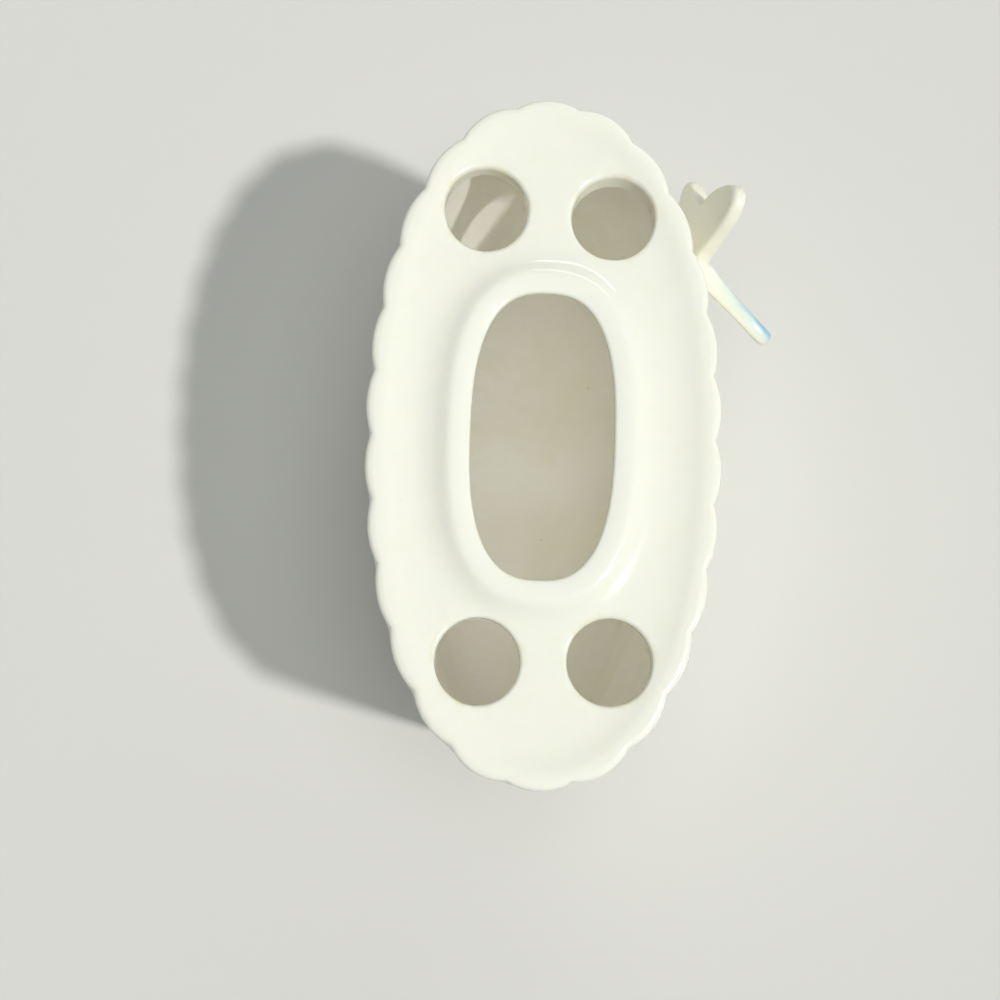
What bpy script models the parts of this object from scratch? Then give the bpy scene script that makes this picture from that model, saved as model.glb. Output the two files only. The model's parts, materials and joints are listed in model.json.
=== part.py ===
"""Porcelain toothbrush holder: a scalloped oval vessel, a deck with four brush
holes, a collared opening for the paste tube, and a butterfly perched on the wall.

Metres, +Z up. The origin is the middle of the flat foot. +Y runs along the oval,
and the butterfly sits on the +X side, towards +Y.
"""
import math

import bmesh
import bpy
import numpy as np
from mathutils import Matrix, Vector

# Overall sizes, the length and width taken over the crests of the scallops
HOLDER_LENGTH = 0.1490
HOLDER_WIDTH = 0.0762
RIM_HEIGHT = 0.0950
OVAL_POWER = 2.2

# Scallops round the rim
LOBE_COUNT = 26
LOBE_RISE = 0.00115
POINTS_PER_LOBE = 6

# Lip, and the shallow dish between its crest and the flat of the deck
LIP_DROP = 0.0018
LIP_UNDERCUT = 0.0016
LIP_CREST_INSET = 0.0017
DISH_WIDTH = 0.0085
DECK_DROP = 0.0012
DECK_THICKNESS = 0.0045

# Brush holes
HOLE_DIAMETER = 0.0183
HOLE_SPACING_ACROSS = 0.0275
HOLE_SPACING_ALONG = 0.0964
HOLE_EDGE_RADIUS = 0.0012

# Each hole was punched by hand, this far across and along from its even place
HOLE_WANDER = (
    (0.0006, 0.0017),
    (0.0006, 0.0004),
    (0.0004, 0.0004),
    (0.0006, 0.0007),
)

# Opening for the paste tube, the collar round it, and the throat that widens under it;
# it was cut by hand too, a little aside and turned
OPENING_WIDTH = 0.0306
OPENING_LENGTH = 0.0616
OPENING_POWER = 2.65
OPENING_ASIDE = (-0.0004, 0.0002)
OPENING_TURN = math.radians(-1.0)
COLLAR_SIDE_BAND = 0.0095
COLLAR_END_BAND = 0.0086
COLLAR_HEIGHT = 0.0021
COLLAR_EDGE = 0.0003
THROAT_FLARE = 0.0030

# Vessel under the deck
WALL_THICKNESS = 0.0045
WALL_PROUD = 0.00035
FLUTE_RISE = 0.0005
FLUTE_FOOT_SHARE = 0.5
FOOT_DRAW_IN = 0.0052
WALL_CURVE = 1.2
FOOT_ROUND = 0.0016
FLOOR_THICKNESS = 0.0050
FLOOR_FILLET = 0.0040

# Butterfly on the wall
PERCH_ALONG = 0.0440
PERCH_DROP = 0.0248
PERCH_LEAN = math.radians(32.0)
BODY_STANDOFF = 0.0036
BODY_LENGTH = 0.0170
THORAX_RADIUS = 0.0039
ABDOMEN_RADIUS = 0.0028
HEAD_RADIUS = 0.0026
WING_SPAN = 0.0212
WING_THICKNESS = 0.0034
UPPER_WING_LIFT = math.radians(29.5)
LOWER_WING_LIFT = math.radians(26.0)

# Clearance between two pieces that were joined wet and fired together
SEAT_GAP = 0.0003

# Heights that follow from the sizes above
lip_height = RIM_HEIGHT - LIP_DROP
deck_top = RIM_HEIGHT - DECK_DROP
deck_underside = deck_top - DECK_THICKNESS
wall_top = deck_underside - SEAT_GAP
notch_half_length = HOLDER_LENGTH / 2 - LOBE_RISE
notch_half_width = HOLDER_WIDTH / 2 - LOBE_RISE
ring_points = LOBE_COUNT * POINTS_PER_LOBE


def clear_scene():
    for old in list(bpy.data.objects):
        bpy.data.objects.remove(old, do_unlink=True)


def new_collection(name):
    collection = bpy.data.collections.new(name)
    bpy.context.scene.collection.children.link(collection)
    return collection


def glaze(name, colour, roughness):
    """Material of one piece: fired porcelain, seen as plain colour and gloss."""
    material = bpy.data.materials.new(name)
    material.use_nodes = True
    shader = material.node_tree.nodes["Principled BSDF"]
    shader.inputs["Base Color"].default_value = (*colour, 1.0)
    shader.inputs["Roughness"].default_value = roughness
    shader.inputs["Metallic"].default_value = 0.0
    return material


def new_object(name, mesh, collection, material=None):
    piece = bpy.data.objects.new(name, mesh)
    collection.objects.link(piece)
    if material:
        mesh.materials.append(material)
    return piece


def smooth(mesh, angle=math.radians(38)):
    mesh.shade_smooth()
    mesh.set_sharp_from_angle(angle=angle)


def oval(half_width, half_length, power, count):
    """Points and outward normals round a superellipse, an equal length apart."""
    turn = np.linspace(0.0, 2 * math.pi, 7201)
    across = np.sign(np.cos(turn)) * np.abs(np.cos(turn)) ** (2 / power) * half_width
    along = np.sign(np.sin(turn)) * np.abs(np.sin(turn)) ** (2 / power) * half_length
    steps = np.hypot(np.diff(across), np.diff(along))
    travelled = np.concatenate(([0.0], np.cumsum(steps)))
    wanted = np.arange(count) * travelled[-1] / count
    points = np.stack((np.interp(wanted, travelled, across), np.interp(wanted, travelled, along)), axis=1)
    return points, oval_normals(points, half_width, half_length, power)


def oval_normals(points, half_width, half_length, power):
    slope = np.stack((
        np.sign(points[:, 0]) * np.abs(points[:, 0] / half_width) ** (power - 1) / half_width,
        np.sign(points[:, 1]) * np.abs(points[:, 1] / half_length) ** (power - 1) / half_length,
    ), axis=1)
    return slope / np.linalg.norm(slope, axis=1, keepdims=True)


notch_line, notch_normals = oval(notch_half_width, notch_half_length, OVAL_POWER, ring_points)
place_in_lobe = (np.arange(ring_points) % POINTS_PER_LOBE) / POINTS_PER_LOBE * 2 - 1
lobe_shape = 1 - place_in_lobe ** 2


def scalloped_ring(outward, rise, height):
    """Ring that lies outward of the notches, with lobes that rise from it."""
    reach = outward + rise * lobe_shape
    flat = notch_line + notch_normals * reach[:, None]
    return [Vector((x, y, height)) for x, y in flat]


def opening_ring(side_band, end_band, height):
    """Ring round the paste opening, wider than it by the two bands."""
    flat, _ = oval(OPENING_WIDTH / 2 + side_band, OPENING_LENGTH / 2 + end_band, OPENING_POWER, ring_points)
    set_in = Matrix.Translation((*OPENING_ASIDE, height)) @ Matrix.Rotation(OPENING_TURN, 4, "Z")
    return [set_in @ Vector((x, y, 0.0)) for x, y in flat]


def loft(name, rings, closed=False):
    """Skin over rings of equal count: round and back to the first, or capped."""
    shape = bmesh.new()
    rows = [[shape.verts.new(point) for point in ring] for ring in rings]
    count = len(rows[0])
    pairs = list(zip(rows, rows[1:]))
    if closed:
        pairs.append((rows[-1], rows[0]))
    else:
        shape.faces.new(reversed(rows[0]))
        shape.faces.new(rows[-1])
    for lower, upper in pairs:
        for i in range(count):
            j = (i + 1) % count
            shape.faces.new((lower[i], lower[j], upper[j], upper[i]))
    bmesh.ops.recalc_face_normals(shape, faces=shape.faces)
    mesh = bpy.data.meshes.new(name)
    shape.to_mesh(mesh)
    shape.free()
    smooth(mesh)
    return mesh


def wall_draw_in(height):
    """How far the wall has come in from the rim at a height."""
    return FOOT_DRAW_IN * ((wall_top - height) / wall_top) ** WALL_CURVE


def flute_rise(height):
    return FLUTE_RISE * (FLUTE_FOOT_SHARE + (1 - FLUTE_FOOT_SHARE) * height / wall_top)


def wall_ring(height, extra=0.0):
    return scalloped_ring(WALL_PROUD - wall_draw_in(height) + extra, flute_rise(height), height)


def chamber_ring(height, inset=0.0):
    return scalloped_ring(WALL_PROUD - wall_draw_in(height) - WALL_THICKNESS - inset, 0.0, height)


def outer_wall_rings(extra=0.0):
    """Outside of the vessel from the foot to its top edge."""
    heights = [FOOT_ROUND + (wall_top - FOOT_ROUND) * share for share in (0.0, 0.22, 0.5, 0.78, 1.0)]
    return [wall_ring(height, extra) for height in heights]


def foot_rings():
    """Flat foot and the quarter round above it."""
    draw_in = WALL_PROUD - wall_draw_in(0.0)
    inner = scalloped_ring(draw_in - FOOT_ROUND, flute_rise(0.0), 0.0)
    middle = scalloped_ring(draw_in - FOOT_ROUND * 0.3, flute_rise(0.0), FOOT_ROUND * 0.3)
    return [inner, middle]


def make_vessel(collection, material):
    """Cast wall and floor in one, open at the top."""
    inside = [
        chamber_ring(wall_top),
        chamber_ring(wall_top * 0.5),
        chamber_ring(FLOOR_THICKNESS + FLOOR_FILLET),
        chamber_ring(FLOOR_THICKNESS + FLOOR_FILLET * 0.3, FLOOR_FILLET * 0.3),
        chamber_ring(FLOOR_THICKNESS, FLOOR_FILLET),
    ]
    mesh = loft("fluted_vessel", foot_rings() + outer_wall_rings() + inside)
    return new_object("fluted_vessel", mesh, collection, material)


def lip_rings():
    """Rolled lip, from the wall below it over its crest and down the dish to the deck."""
    under_lip = [
        scalloped_ring(WALL_PROUD, flute_rise(wall_top), deck_underside),
        scalloped_ring(WALL_PROUD, flute_rise(wall_top), lip_height - LIP_UNDERCUT),
        scalloped_ring(-0.13 * LIP_CREST_INSET, LOBE_RISE * 0.85, lip_height - LIP_UNDERCUT * 0.55),
    ]
    roll = [
        scalloped_ring(-LIP_CREST_INSET * inward, LOBE_RISE * rise, lip_height + LIP_DROP * up)
        for inward, rise, up in ((0.0, 1.0, 0.0), (0.22, 0.96, 0.62), (0.60, 0.75, 0.93), (1.0, 0.45, 1.0))
    ]
    dish_steps = ((0.12, 0.13, 0.06), (0.28, 0.01, 0.33), (0.50, 0.0, 0.69), (0.75, 0.0, 0.94))
    dish = [
        scalloped_ring(-LIP_CREST_INSET - DISH_WIDTH * inward, LOBE_RISE * rise,
                       RIM_HEIGHT - DECK_DROP * down)
        for inward, rise, down in dish_steps
    ]
    return under_lip + roll + dish + [scalloped_ring(-LIP_CREST_INSET - DISH_WIDTH, 0.0, deck_top)]


def hole_centres():
    across = HOLE_SPACING_ACROSS / 2
    along = HOLE_SPACING_ALONG / 2
    even = [(x, y) for y in (along, -along) for x in (-across, across)]
    return [(x + dx, y + dy) for (x, y), (dx, dy) in zip(even, HOLE_WANDER)]


def hole_cutter(name, centre, collection):
    """Turned cutter: the bore, and a quarter round that eases its upper edge."""
    radius = HOLE_DIAMETER / 2
    ease = HOLE_EDGE_RADIUS
    profile = [(0.0, DECK_THICKNESS), (radius + ease * 2, DECK_THICKNESS), (radius + ease, 0.0)]
    for angle in (30, 60, 90):
        turn = math.radians(angle)
        profile.append((radius + ease * (1 - math.sin(turn)), -ease * (1 - math.cos(turn))))
    profile += [(radius, -2 * DECK_THICKNESS), (0.0, -2 * DECK_THICKNESS)]
    shape = bmesh.new()
    points = [shape.verts.new((x, 0.0, z)) for x, z in profile]
    for start, end in zip(points, points[1:]):
        shape.edges.new((start, end))
    mesh = bpy.data.meshes.new(name)
    shape.to_mesh(mesh)
    shape.free()
    cutter = new_object(name, mesh, collection)
    cutter.location = (*centre, deck_top)
    turned = cutter.modifiers.new("turned", "SCREW")
    turned.axis = "Z"
    turned.steps = 32
    turned.render_steps = 32
    turned.use_merge_vertices = True
    turned.merge_threshold = 0.00001
    hide_cutter(cutter)
    return cutter


def hide_cutter(cutter):
    cutter.hide_render = True
    cutter.display_type = "WIRE"


def cut(piece, cutter):
    boolean = piece.modifiers.new("cut by " + cutter.name, "BOOLEAN")
    boolean.operation = "DIFFERENCE"
    boolean.solver = "EXACT"
    boolean.object = cutter


def make_deck(collection, cutters, material):
    """Dished deck with its lip, pierced by the four brush holes."""
    opening = [opening_ring(0.0, 0.0, deck_top), opening_ring(THROAT_FLARE, THROAT_FLARE, deck_underside)]
    mesh = loft("holed_deck", lip_rings() + opening, closed=True)
    deck = new_object("holed_deck", mesh, collection, material)
    for number, centre in enumerate(hole_centres(), start=1):
        cut(deck, hole_cutter(f"brush_hole_cutter_{number}", centre, cutters))
    return deck


def make_collar(collection, material):
    """Raised collar that stands on the deck round the paste opening."""
    seat = deck_top + SEAT_GAP
    crest = deck_top + COLLAR_HEIGHT
    rise = crest - seat
    profile = [
        (0.00, 0.00), (0.00, 0.53), (0.015, 0.69), (0.05, 0.81), (0.17, 0.92), (0.35, 1.00),
        (0.45, 0.92), (0.55, 0.72), (0.65, 0.46), (0.77, 0.25), (1.00, COLLAR_EDGE / rise), (1.00, 0.00),
    ]
    rings = [
        opening_ring(COLLAR_SIDE_BAND * out, COLLAR_END_BAND * out, seat + rise * up)
        for out, up in profile
    ]
    return new_object("opening_collar", loft("opening_collar", rings, closed=True), collection, material)


def perch_frame():
    """Place of the butterfly: its middle, and the ways that it lies on the wall."""
    height = RIM_HEIGHT - PERCH_DROP
    across = notch_half_width * (1 - (PERCH_ALONG / notch_half_length) ** OVAL_POWER) ** (1 / OVAL_POWER)
    spot = np.array([[across, PERCH_ALONG]])
    normal = Vector((*oval_normals(spot, notch_half_width, notch_half_length, OVAL_POWER)[0], 0.0))
    step = 0.001
    lean = math.atan2(wall_draw_in(height - step) - wall_draw_in(height + step), 2 * step)
    outward = (normal * math.cos(lean) - Vector((0, 0, 1)) * math.sin(lean)).normalized()
    upward = (Vector((0, 0, 1)) * math.cos(lean) + normal * math.sin(lean)).normalized()
    sideways = outward.cross(upward)
    headward = upward * math.cos(PERCH_LEAN) + sideways * math.sin(PERCH_LEAN)
    lateral = headward.cross(outward)
    surface_reach = WALL_PROUD - wall_draw_in(height) + flute_rise(height)
    middle = Vector((across, PERCH_ALONG, height)) + normal * surface_reach + outward * BODY_STANDOFF
    return middle, headward, outward, lateral


def body_profile(extra=0.0):
    """Tail to head, as distance along the body and radius."""
    tail = -0.56 * BODY_LENGTH
    return [
        (tail - extra, 0.0),
        (tail + 0.03 * BODY_LENGTH, ABDOMEN_RADIUS * 0.45 + extra),
        (-0.38 * BODY_LENGTH, ABDOMEN_RADIUS * 0.88 + extra),
        (-0.22 * BODY_LENGTH, ABDOMEN_RADIUS + extra),
        (-0.12 * BODY_LENGTH, ABDOMEN_RADIUS * 0.96 + extra),
        (-0.02 * BODY_LENGTH, THORAX_RADIUS * 0.94 + extra),
        (0.08 * BODY_LENGTH, THORAX_RADIUS + extra),
        (0.18 * BODY_LENGTH, THORAX_RADIUS * 0.86 + extra),
        (0.24 * BODY_LENGTH, HEAD_RADIUS * 0.90 + extra),
        (0.32 * BODY_LENGTH, HEAD_RADIUS + extra),
        (0.40 * BODY_LENGTH, HEAD_RADIUS * 0.72 + extra),
        (0.44 * BODY_LENGTH + extra, 0.0),
    ]


def make_body_shape(name, collection, extra=0.0, material=None):
    """Turned body with its axis on the perch frame's headward line."""
    middle, headward, outward, lateral = perch_frame()
    shape = bmesh.new()
    points = [shape.verts.new((radius, 0.0, along)) for along, radius in reversed(body_profile(extra))]
    for start, end in zip(points, points[1:]):
        shape.edges.new((start, end))
    mesh = bpy.data.meshes.new(name)
    shape.to_mesh(mesh)
    shape.free()
    body = new_object(name, mesh, collection, material)
    turn = Matrix((lateral, outward, headward)).transposed().to_4x4()
    body.matrix_world = Matrix.Translation(middle) @ turn
    turned = body.modifiers.new("turned", "SCREW")
    turned.axis = "Z"
    turned.steps = 20
    turned.render_steps = 20
    turned.use_merge_vertices = True
    turned.merge_threshold = 0.00001
    turned.use_smooth_shade = True
    return body


def make_wall_cutter(collection):
    """The vessel's outside grown by the seat gap, for what is luted to the wall."""
    mesh = loft("wall_cutter", outer_wall_rings(SEAT_GAP))
    cutter = new_object("wall_cutter", mesh, collection)
    hide_cutter(cutter)
    return cutter


def wing_outline():
    """Fore and hind wing as one leaf, in spans out from the body and along it."""
    return [
        (0.04, 0.16), (0.20, 0.34), (0.44, 0.54), (0.68, 0.69), (0.89, 0.71), (1.00, 0.58),
        (0.98, 0.34), (0.86, 0.07), (0.73, -0.13), (0.81, -0.33), (0.81, -0.50), (0.68, -0.63),
        (0.46, -0.64), (0.24, -0.50), (0.04, -0.26),
    ]


def make_wing(name, side, lift, collection, wall_cutter, body_cutter, material):
    """Leaf with a rounded edge, raised from the wall on one side of the body."""
    middle, headward, outward, lateral = perch_frame()
    spanward = lateral * (side * math.cos(lift)) + outward * math.sin(lift)
    curve = bpy.data.curves.new(name + "_outline", "CURVE")
    curve.dimensions = "2D"
    curve.fill_mode = "BOTH"
    curve.resolution_u = 3
    rounding = WING_THICKNESS * 0.32
    curve.bevel_depth = rounding
    curve.bevel_resolution = 1
    curve.offset = -rounding
    curve.extrude = WING_THICKNESS / 2 - rounding
    spline = curve.splines.new("BEZIER")
    outline = wing_outline()
    spline.bezier_points.add(len(outline) - 1)
    for point, (out, along) in zip(spline.bezier_points, outline):
        point.co = (out * WING_SPAN, along * WING_SPAN, 0.0)
        point.handle_left_type = "AUTO"
        point.handle_right_type = "AUTO"
    spline.use_cyclic_u = True
    leaf = bpy.data.objects.new(name + "_outline", curve)
    collection.objects.link(leaf)
    turn = Matrix((spanward, headward, spanward.cross(headward))).transposed().to_4x4()
    leaf.matrix_world = Matrix.Translation(middle) @ turn
    bpy.context.view_layer.update()
    mesh = bpy.data.meshes.new_from_object(leaf.evaluated_get(bpy.context.evaluated_depsgraph_get()))
    mesh.name = name
    shape = bmesh.new()
    shape.from_mesh(mesh)
    bmesh.ops.remove_doubles(shape, verts=shape.verts, dist=0.00002)
    bmesh.ops.recalc_face_normals(shape, faces=shape.faces)
    shape.to_mesh(mesh)
    shape.free()
    smooth(mesh)
    mesh.materials.clear()
    wing = new_object(name, mesh, collection, material)
    wing.matrix_world = leaf.matrix_world
    bpy.data.objects.remove(leaf, do_unlink=True)
    cut(wing, body_cutter)
    cut(wing, wall_cutter)
    return wing


def make_butterfly(collection, cutters, body_material, wing_material):
    """Body luted to the wall, and one leaf of wing on each side of it."""
    wall_cutter = make_wall_cutter(cutters)
    body = make_body_shape("butterfly_body", collection, 0.0, body_material)
    cut(body, wall_cutter)
    body_cutter = make_body_shape("body_cutter", cutters, SEAT_GAP)
    hide_cutter(body_cutter)
    make_wing("upper_wing", 1, UPPER_WING_LIFT, collection, wall_cutter, body_cutter, wing_material)
    make_wing("lower_wing", -1, LOWER_WING_LIFT, collection, wall_cutter, body_cutter, wing_material)


def build():
    clear_scene()
    parts = new_collection("toothbrush_holder")
    cutters = new_collection("cutters")
    porcelain = glaze("ivory_porcelain", (0.90, 0.885, 0.80), 0.16)
    deck_glaze = glaze("deck_porcelain", (0.92, 0.91, 0.83), 0.14)
    collar_glaze = glaze("collar_porcelain", (0.93, 0.92, 0.85), 0.14)
    body_glaze = glaze("butterfly_porcelain", (0.90, 0.89, 0.82), 0.18)
    wing_glaze = glaze("wing_porcelain", (0.80, 0.86, 0.86), 0.18)
    make_vessel(parts, porcelain)
    make_deck(parts, cutters, deck_glaze)
    make_collar(parts, collar_glaze)
    make_butterfly(parts, cutters, body_glaze, wing_glaze)


build()
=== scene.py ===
"""Looks of the porcelain toothbrush holder: one glazed, scalloped vessel with its
holed and collared deck, and the butterfly that is luted to its wall."""

import json
import math

import bmesh
import bpy
import numpy as np
from mathutils import Matrix, Vector
from mathutils.geometry import delaunay_2d_cdt

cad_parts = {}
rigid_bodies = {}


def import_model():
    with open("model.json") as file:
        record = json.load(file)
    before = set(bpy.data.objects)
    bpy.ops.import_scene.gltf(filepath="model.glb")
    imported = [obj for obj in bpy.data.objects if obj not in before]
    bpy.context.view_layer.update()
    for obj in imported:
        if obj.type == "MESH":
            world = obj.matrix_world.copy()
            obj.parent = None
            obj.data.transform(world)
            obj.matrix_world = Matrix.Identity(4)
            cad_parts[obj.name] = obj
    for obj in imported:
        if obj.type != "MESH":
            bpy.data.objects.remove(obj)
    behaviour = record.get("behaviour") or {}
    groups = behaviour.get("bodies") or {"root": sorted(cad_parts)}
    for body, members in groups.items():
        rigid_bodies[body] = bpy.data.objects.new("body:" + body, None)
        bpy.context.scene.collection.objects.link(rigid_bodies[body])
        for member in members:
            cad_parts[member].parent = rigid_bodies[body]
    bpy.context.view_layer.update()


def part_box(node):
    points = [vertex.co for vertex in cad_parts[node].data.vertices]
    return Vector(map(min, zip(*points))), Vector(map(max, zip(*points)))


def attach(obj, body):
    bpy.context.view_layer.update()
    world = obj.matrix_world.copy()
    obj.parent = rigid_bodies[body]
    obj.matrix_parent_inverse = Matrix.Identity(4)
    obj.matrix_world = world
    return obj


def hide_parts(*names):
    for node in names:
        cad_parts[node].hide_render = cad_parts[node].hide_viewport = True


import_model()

# Oval and scallops, as the deck carries them
LOBES = 26
LOBE_RISE = 0.00115
OVAL_POWER = 2.2
HOLDER_WIDTH = 0.0762
deck_low, deck_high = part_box("holed_deck")
_, vessel_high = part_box("fluted_vessel")
_, collar_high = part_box("opening_collar")
HALF_LENGTH = deck_high[1] - LOBE_RISE
HALF_WIDTH = HOLDER_WIDTH / 2 - LOBE_RISE
RIM_OVAL = (HALF_WIDTH, HALF_LENGTH, OVAL_POWER)

# Heights and depths of the rim and the deck
RIM = deck_high[2]
LIP_DROP = 0.0018
LIP_UNDERCUT = 0.0024
LIP_CREST = 0.0013
LOBE_FADE = 0.0019
DISH_DEPTH = 0.0012
DISH_WIDTH = 0.0105
DECK = RIM - DISH_DEPTH
DECK_UNDER = deck_low[2]
LIP_JOIN = 0.0032

# Brush holes, two at each end. Each was punched by hand, a little off its even place,
# and leans by the given step from the deck to its underside
HOLE_RADIUS = 0.00915
HOLE_NARROWER = 0.0002
BORE_OVAL = (HOLE_RADIUS - HOLE_NARROWER, HOLE_RADIUS, 2.0)
HOLE_EDGES = (0.0011, 0.0010, 0.0008, 0.0008)
HOLES = ((-0.01315, 0.0499), (0.01435, 0.0486), (-0.01335, -0.0478), (0.01435, -0.0475))
HOLE_LEANS = ((0.0, -0.0003), (0.0, -0.0011), (0.0001, 0.0), (0.0002, 0.0))
HOLE_UNDER_FLARE = 0.0003

# Paste opening, cut by hand a little aside and turned, and the swell of its collar
OPENING_HALF_WIDTH = 0.0153
OPENING_HALF_LENGTH = 0.0308
OPENING_POWER = 2.65
OPENING_OVAL = (OPENING_HALF_WIDTH, OPENING_HALF_LENGTH, OPENING_POWER)
OPENING_ASIDE = (-0.0004, 0.0002)
OPENING_TURN = math.radians(-1.0)
OPENING_EDGE = 0.0005
COLLAR_RISE = collar_high[2] - DECK
COLLAR_CREST = 0.0040
COLLAR_INNER_DROP = 0.00045
COLLAR_FLANK = 0.0093
COLLAR_JOIN = 0.0026
THROAT_FLARE = 0.0030
THROAT_MOUTH = THROAT_FLARE + 0.0004

# Vessel wall
WALL_TOP = vessel_high[2]
WALL = 0.0045
WALL_PROUD = 0.00035
FLUTE_RISE = 0.0005
FLUTE_FOOT_SHARE = 0.5
FOOT_DRAW_IN = 0.0052
WALL_CURVE = 1.2
FOOT_ROUND = 0.0016
FLOOR = 0.0050
FLOOR_FILLET = 0.0060

# Butterfly: sizes that differ are given for the upper wing (1) and the lower one (-1).
# Swell, hollow, twist and droop are shares of the wing's span or thickness
PERCH_ALONG = 0.0440
PERCH_DROP = 0.0248
PERCH_LEAN = math.radians(32.0)
LEAN_STEP = 0.001
BODY_STANDOFF = 0.0036
BODY_LENGTH = 0.0170
WING_SPANS = {1: 0.0212, -1: 0.0224}
WING_THICKNESSES = {1: 0.0036, -1: 0.0038}
WING_MARGIN = 0.14
ROOT_SWELLS = {1: 0.10, -1: 0.35}
WING_HOLLOWS = {1: 0.032, -1: 0.012}
WING_TWISTS = {1: 0.0, -1: -0.065}
MARGIN_POWER = 3.0
WING_LIFT = math.radians(29.5)
WING_MIDDLE = (0.42, 0.02)
WING_FOLD = -0.020
FOLD_WIDTH = 0.13
FOLD_SLANT = 0.05
TWIST_FROM = 0.45
NOTCH_ALONG = -0.10
ROOT_REACH = 0.30
HIND_DROOP = {1: 0.16, -1: 0.0}

BODY_SIDES = 32
BODY_RINGING = (0.02, 95)
FUSE_VOXEL = 0.00032
SOFTEN_SHARE = 0.5
SOFTEN_ROUNDS = 10
WING_STEPS = 6
BODY_STEPS = 6

# On the lower wing the blue reaches further round the margin, partly as painted shade that darkens
# the lit band there.
# It starts where the surface faces out more than FROM, is full a REACH further, and
# begins at the share START of the span
WASH_FROM = {1: 0.45, -1: -0.34}
WASH_REACH = {1: 0.5, -1: 0.9}
WASH_START = {1: 0.22, -1: 0.0}
WASH_BUILD_UP = 0.80

# How finely the skins are drawn: columns round each oval, rows along each section
COLUMNS_PER_LOBE = 16
OPENING_RING = 240
HOLE_RING = 96
RING = LOBES * COLUMNS_PER_LOBE
CHAMBER_RING = 2 * RING
ROWS = {"foot": 8, "wall": 30, "lip": 34, "chamber": 34, "collar": 44, "brush_hole": 22}
ROUND_STEPS = 8
FILLET_STEPS = 10
CREST_STEPS = 9
CURVE_STEPS = 8
CHAMBER_LEVELS = 26
DISC_SHARES = (1.0, 0.8, 0.6, 0.4, 0.2)
DECK_STEP = 0.0009
UNDERSIDE_STEP = 0.0035
HEX_ROW = 0.866
CLEAR_OF_RING = 0.6
CLEAR_OF_HOLE = 0.55
OVAL_SAMPLES = 7201
TABLE_SAMPLES = 401
OUTLINE_POINTS = 2880
RULER_POINTS = 3120
BATCH = 2000
LOBE_ROUNDS = 4
SAME_SPOT = 1e-9
SEAM = 0.000002
WELD = 0.00006
SHARP_ANGLE = math.radians(48)

# Colours of glaze and body as the photograph's light shows them, 0 to 255
IVORY = ((245, 247, 235), (248, 246, 235))
IVORY_MOTTLE = (242, 240, 224)
# Whiter collar: painted light where the collar catches the key lamp
COLLAR_LIGHT_COLOUR = (252, 253, 239)
AGED_GLAZE = ((252, 250, 245), (247, 244, 235))
# Whiter streaks on the chamber's far side: painted light and painted reflections
CHAMBER_PAINTED_LIGHT = (255, 255, 255)
THIN_GLAZE = (236, 225, 192)
SPECK = (122, 104, 78)
BARE_BODY = (226, 218, 200)
WING_IVORY = ((248, 245, 230), (243, 239, 219))
WING_SKY = ((188, 218, 224), (146, 194, 222))

# What every glaze shares
GLASS_IOR = 1.5
BODY_GLOW = 0.50
GLOW_RADIUS = (1.0, 0.92, 0.75)
GLOW_SCALE = 0.0016
COAT_ROUGHNESS = 0.04
VESSEL_COAT = 0.35
WING_COAT = 0.12
VESSEL_RIPPLE = 0.00012
WING_RIPPLE = 0.00010

# Bands of glaze: thin at a hole's edge (how far out it lies, how wide it is), thin at the
# opening's edge, and a band of painted light that makes the collar whiter. They lie a little
# above the deck's underside, and the chamber's own glaze ends there
HOLE_BAND = (0.0003, 0.0006)
OPENING_BAND = 0.0004
COLLAR_LIGHT_REACH = 0.0048
BANDS_ABOVE = 0.001
CHAMBER_ABOVE = 0.0005

# Light of the room on the object, and as it shows behind it and in the glaze
ROOM_LIGHT = 0.12
ROOM_SHOWN = 0.70
ROOM_COLOUR = (0.97, 1.0, 0.985, 1.0)
CHAMBER_BOUNCES = 15
KEY_LAMP = {"toward": (0.504, -0.195, 0.84), "strength": 1.90, "spread": 3.6,
            "colour": (0.995, 1.0, 0.955)}
OVERHEAD_LAMP = {"toward": (0.04, -0.05, 1.0), "strength": 1.05, "spread": 38.0,
                 "colour": (0.965, 1.0, 0.965)}
FAR_STRIP = {"place": (0.52, 1.50, 1.20), "size": (1.15, 0.045), "power": 2.6,
             "colour": (0.96, 1.0, 0.98)}
FLOOR_SIZE = 80.0
FLOOR_HEIGHT = -0.0002
FLOOR_COLOUR = (0.70, 0.69, 0.67, 1.0)
FLOOR_ROUGHNESS = 0.9
FLOOR_SPECULAR = 0.1

# Camera, as the photograph was taken
CAMERA_TILT = math.radians(7.23)
CAMERA_SWING = math.radians(-1.10)
CAMERA_TURN = math.radians(1.12)
CAMERA_PLACE = (-0.01515, -0.05911, RIM - LIP_DROP + 0.358)
CAMERA_SENSOR = 36.0
CAMERA_LENS = 61.2


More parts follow.
